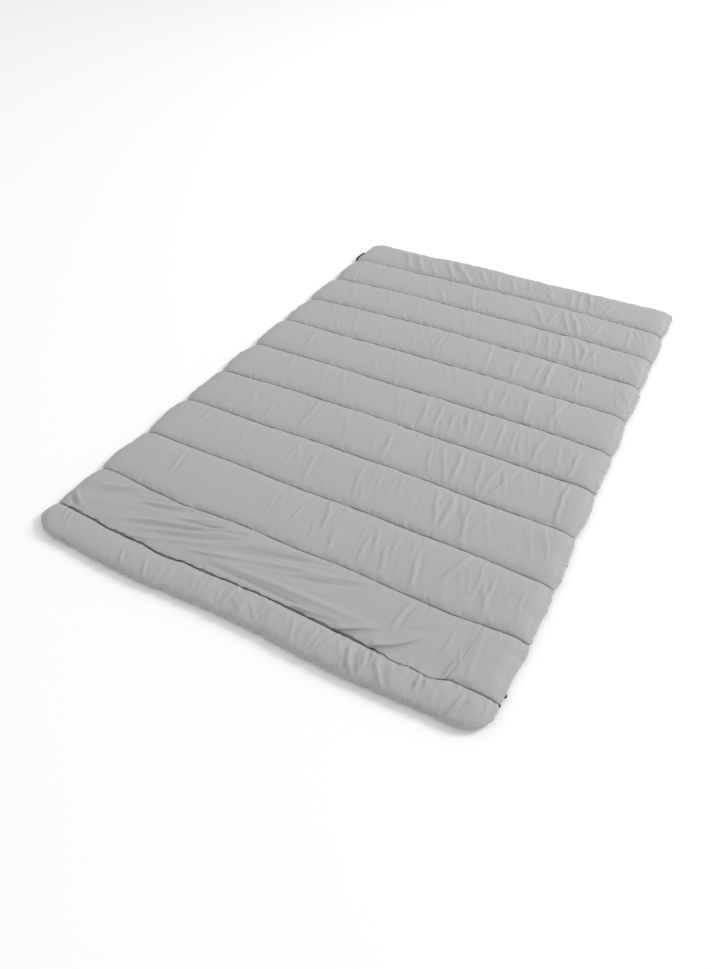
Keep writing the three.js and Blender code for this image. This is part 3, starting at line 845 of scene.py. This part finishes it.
# Painted shade in the deep creases of the tucks, kept like the shade along the sewn lines.
painted_crease_shade = np.zeros(len(x))
for crease in PANEL_TUCKS:
    raised, dark = tuck(x, y, crease)
    lift += raised
    painted_crease_shade = np.maximum(painted_crease_shade, dark)
dice = random.Random(5)
for _ in range(STREAKS):
    at_x, at_y = dice.uniform(-0.58, 0.05), dice.uniform(0.125, 0.235)
    run = dice.uniform(0.10, 0.30)
    middle, stop = (at_x + run / 2, at_y + run * 0.10), (at_x + run, at_y + run * 0.26)
    width, height = dice.uniform(0.0034, 0.0062), dice.uniform(-0.0016, 0.0026)
    lift += fold_height(x, y, ((at_x, at_y), middle, stop, width, height))
for _ in range(SMALL_CREASES):
    at = dice.uniform(PANEL_LEFT, PANEL_RIGHT) * HALF
    slant = dice.uniform(-0.4, 0.4)
    at_foot = dice.random() < 0.5
    start, stop = (0, dice.uniform(0.1, 0.3)) if at_foot else (dice.uniform(0.7, 0.9), 1)
    width, height = dice.uniform(0.0036, 0.0075), dice.uniform(-0.0016, 0.0016)
    lift += crease_depth(x, u, POCKET_CHANNEL, (at, slant, 0, start, stop, width, height))
lift += HEM_THICK * np.clip((s - (right_end - HEM / HALF)) / HEM_STEP, 0, 1)
lift *= np.clip((s - PANEL_LEFT) * HALF / SIDE_FADE, 0, 1)
smooth_z = top_height(along, s) + PANEL_CLEAR + lift + LOOSE_LIFT * loose * reach_over
x, y = x + shift[0], y + shift[1]
cover_z = np.array([cover_height(px, py, beside=0.0) for px, py in zip(x, y)])
z = np.maximum(smooth_z, cover_z + PANEL_CLEAR)
for vert, px, py, pz in zip(made, x, y, z):
    vert.co = (px, py, pz)
panel_mesh = bpy.data.meshes.new("pocket_cloth")
bm.to_mesh(panel_mesh)
bm.free()
panel = add_piece("pocket_cloth", panel_mesh)
# The panel's painted crease shade goes into the same attribute as the cover's painted seam shade.
panel_mesh.attributes.new("painted_shade", "FLOAT", "POINT").data.foreach_set("value", painted_crease_shade)
for polygon in panel_mesh.polygons:
    polygon.use_smooth = True
cloth_thickness = panel.modifiers.new("thickness", "SOLIDIFY")
cloth_thickness.thickness = PANEL_THICK
cloth_thickness.offset = 1.0
panel_cloth = cloth_material(
    "panel_cloth",
    cool=(0.384, 0.387, 0.396),
    warm=(0.402, 0.398, 0.396),
    rough=0.74,
    crease_turn=-0.25,
    crease_scale=(5, 45, 5),
    crease_strength=0.12,
)
panel_mesh.materials.append(panel_cloth)
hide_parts("pocket_panel")
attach(panel, "root")

# ---------------------------------------------------------------------------
# Side tapes. A dark woven tape sewn under each side edge. It runs straighter than the
# gathered edge, so it shows only where the seams draw the cloth in.
TAPE_WIDTH, TAPE_THICK = 0.010, 0.0012
TAPE_COLUMNS, TAPE_ROWS = 10, 900
# Where a tape starts and how far it runs, in channels.
TAPE_START, TAPE_RUN = 0.8, 9.7
# How far its edge lies inside the cover's, and how far out it starts to curl where it shows.
TAPE_HIDDEN = 0.003
TAPE_BEND = 0.004
RISE_FROM, RISE_OVER = 0.7, 0.3
# Side, place in channels from the foot, half length in channels, how far out and up its edge stands.
TAPE_SHOWS = [
    (1, 1.00, 0.030, 0.0030, 0),
    (1, 1.17, 0.035, 0.0025, 0),
    (1, 2.39, 0.030, 0.0025, 0),
    (1, 3.50, 0.025, 0.0015, 0),
    (-1, 4.97, 0.050, 0.0050, 0),
    (-1, 10.26, 0.360, 0.0090, 0.009),
]


def tape_material():
    material = bpy.data.materials.new("side_tape_weave")
    material.use_nodes = True
    nodes, links = material.node_tree.nodes, material.node_tree.links
    shader = nodes["Principled BSDF"]
    shader.inputs["Roughness"].default_value = 0.7
    where = nodes.new("ShaderNodeTexCoord").outputs["Object"]
    ribs = nodes.new("ShaderNodeTexWave")
    ribs.bands_direction = "Y"
    ribs.inputs["Scale"].default_value = 220.0
    ribs.inputs["Distortion"].default_value = 0.4
    links.new(where, ribs.inputs["Vector"])
    shade = nodes.new("ShaderNodeMix")
    shade.data_type = "RGBA"
    shade.inputs["A"].default_value = (0.010, 0.010, 0.012, 1)
    shade.inputs["B"].default_value = (0.028, 0.028, 0.031, 1)
    links.new(ribs.outputs["Fac"], shade.inputs["Factor"])
    links.new(shade.outputs["Result"], shader.inputs["Base Color"])
    raised = nodes.new("ShaderNodeBump")
    raised.inputs["Strength"].default_value = 0.5
    raised.inputs["Distance"].default_value = 0.0004
    links.new(ribs.outputs["Fac"], raised.inputs["Height"])
    links.new(raised.outputs["Normal"], shader.inputs["Normal"])
    return material


tape_weave = tape_material()
for side, node in ((-1, "side_tape_left"), (1, "side_tape_right")):
    tape_low, tape_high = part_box(node)
    bm = bmesh.new()
    made = bmesh.ops.create_grid(bm, x_segments=TAPE_COLUMNS, y_segments=TAPE_ROWS, size=1.0)["verts"]
    flat = np.array([v.co[:] for v in made])
    along = TAPE_START + (flat[:, 1] + 1) / 2 * TAPE_RUN
    x, y = plan(along, np.full(len(along), float(side)))[2:4]
    out, up = np.full(len(x), -TAPE_HIDDEN), np.zeros(len(x))
    for shows_on, place, reach, outward, upward in TAPE_SHOWS:
        if shows_on == side:
            near = np.exp(-(((along - place) / reach) ** 4))
            out += (TAPE_HIDDEN + outward) * near
            up += upward * np.maximum(0, (near - RISE_FROM) / RISE_OVER)
    offset = out - TAPE_WIDTH * (1 - side * flat[:, 0]) / 2
    curl = np.clip((offset - TAPE_BEND) / np.maximum(out - TAPE_BEND, 1e-4), 0, 1)
    x = x + side * offset + shift[0]
    for vert, px, py, rise in zip(made, x, y + shift[1], up * curl):
        vert.co = (px, py, tape_low[2] + rise)
    bmesh.ops.recalc_face_normals(bm, faces=bm.faces[:])
    tape_mesh = bpy.data.meshes.new(node + "_weave")
    bm.to_mesh(tape_mesh)
    bm.free()
    tape = add_piece(node + "_weave", tape_mesh)
    thickness = tape.modifiers.new("thickness", "SOLIDIFY")
    thickness.thickness = TAPE_THICK
    thickness.offset = 1.0
    tape_mesh.materials.append(tape_weave)
    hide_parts(node)
    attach(tape, "root")

# ---------------------------------------------------------------------------
# Quilting stitches. Short lengths of grey thread in the bottom of each sewn line,
# one straight lockstitch after another from side to side.
STITCH, STITCH_GAP, THREAD_RADIUS = 0.0042, 0.0013, 0.00055
STITCH_END_GAP = 0.006
# How high the middle of the thread lies over the cloth, in its own radius.
THREAD_STANDS = 0.6
thread = bpy.data.materials.new("stitch_thread")
thread.use_nodes = True
nodes, links = thread.node_tree.nodes, thread.node_tree.links
twist = nodes.new("ShaderNodeTexNoise")
twist.inputs["Scale"].default_value = 900.0
links.new(nodes.new("ShaderNodeTexCoord").outputs["Object"], twist.inputs["Vector"])
# The thread's dark grey is partly painted shade: the stitches are real thread, and their darkness also stands
# in for the shadow at the bottom of each groove.
thread_shade = nodes.new("ShaderNodeMix")
thread_shade.data_type = "RGBA"
thread_shade.inputs["A"].default_value = (0.10, 0.10, 0.105, 1)
thread_shade.inputs["B"].default_value = (0.17, 0.17, 0.175, 1)
links.new(twist.outputs["Fac"], thread_shade.inputs["Factor"])
links.new(thread_shade.outputs["Result"], nodes["Principled BSDF"].inputs["Base Color"])
nodes["Principled BSDF"].inputs["Roughness"].default_value = 0.6
reach_x = HALF - DRAW_IN_LEFT - STITCH_END_GAP
count = int(2 * reach_x / (STITCH + STITCH_GAP))
centres = np.linspace(-reach_x, reach_x, count)
for index in range(1, CHANNELS):
    bm = bmesh.new()
    for x, y in zip(centres, seam_y(np.full(count, index), centres)):
        made = bmesh.ops.create_cone(
            bm, cap_ends=True, segments=6, radius1=THREAD_RADIUS, radius2=THREAD_RADIUS, depth=STITCH
        )["verts"]
        for vert in made:
            vert.co = (x + vert.co.z + shift[0], y + vert.co.y + shift[1], vert.co.x)
    bmesh.ops.recalc_face_normals(bm, faces=bm.faces[:])
    for vert in bm.verts:
        vert.co.z += cover_height(vert.co.x, vert.co.y, beside=SEAM_HEIGHT) + THREAD_RADIUS * THREAD_STANDS
    stitch_mesh = bpy.data.meshes.new(f"stitches_{index}")
    bm.to_mesh(stitch_mesh)
    bm.free()
    stitches = add_piece(f"stitches_{index}", stitch_mesh)
    stitch_mesh.materials.append(thread)
    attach(stitches, "root")

# ---------------------------------------------------------------------------
# Studio. A plain pale floor, a soft bright surround and one large soft light
# from behind and to the right.
FLOOR_REACH, FLOOR_BELOW = 14.0, 0.0005
bm = bmesh.new()
bmesh.ops.create_grid(bm, x_segments=1, y_segments=1, size=FLOOR_REACH)
floor_mesh = bpy.data.meshes.new("floor")
bm.to_mesh(floor_mesh)
bm.free()
floor = add_piece("floor", floor_mesh)
for vert in floor_mesh.vertices:
    vert.co.z = -FLOOR_BELOW
floor_material = bpy.data.materials.new("floor_white")
floor_material.use_nodes = True
floor_shader = floor_material.node_tree.nodes["Principled BSDF"]
floor_shader.inputs["Base Color"].default_value = (0.93, 0.93, 0.93, 1)
floor_shader.inputs["Roughness"].default_value = 0.9
floor_shader.inputs["Specular IOR Level"].default_value = 0.0
floor_mesh.materials.append(floor_material)

scene = bpy.context.scene
scene.view_settings.view_transform = "Standard"
world = bpy.data.worlds.new("surround")
scene.world = world
world.use_nodes = True
background = world.node_tree.nodes["Background"]
background.inputs["Color"].default_value = (1, 1, 1, 1)
background.inputs["Strength"].default_value = 0.78

lamp = bpy.data.lights.new("back_right", "AREA")
lamp.shape = "SQUARE"
lamp.size = 4.5
lamp.energy = 930
light = bpy.data.objects.new("back_right", lamp)
scene.collection.objects.link(light)
light.location = (7.2, 7.2, 7.3)
light.rotation_euler = (Vector((0, 0, 0)) - light.location).to_track_quat("-Z", "Y").to_euler()

# The camera stands beyond the foot edge, right of the middle, and looks down over the whole duvet.
camera = bpy.data.objects.new("camera", bpy.data.cameras.new("camera"))
scene.collection.objects.link(camera)
camera.data.lens = 27.12
camera.data.clip_end = 60
camera.location = (0.739 + shift[0], -1.819 + shift[1], 1.398)
azimuth, elevation, roll = math.radians(27.32), math.radians(41.92), math.radians(1.26)
level = math.cos(elevation)
ahead = Vector((-math.sin(azimuth) * level, math.cos(azimuth) * level, -math.sin(elevation)))
camera.rotation_mode = "QUATERNION"
camera.rotation_quaternion = ahead.to_track_quat("-Z", "Y") @ Quaternion((0, 0, 1), roll)
scene.camera = camera
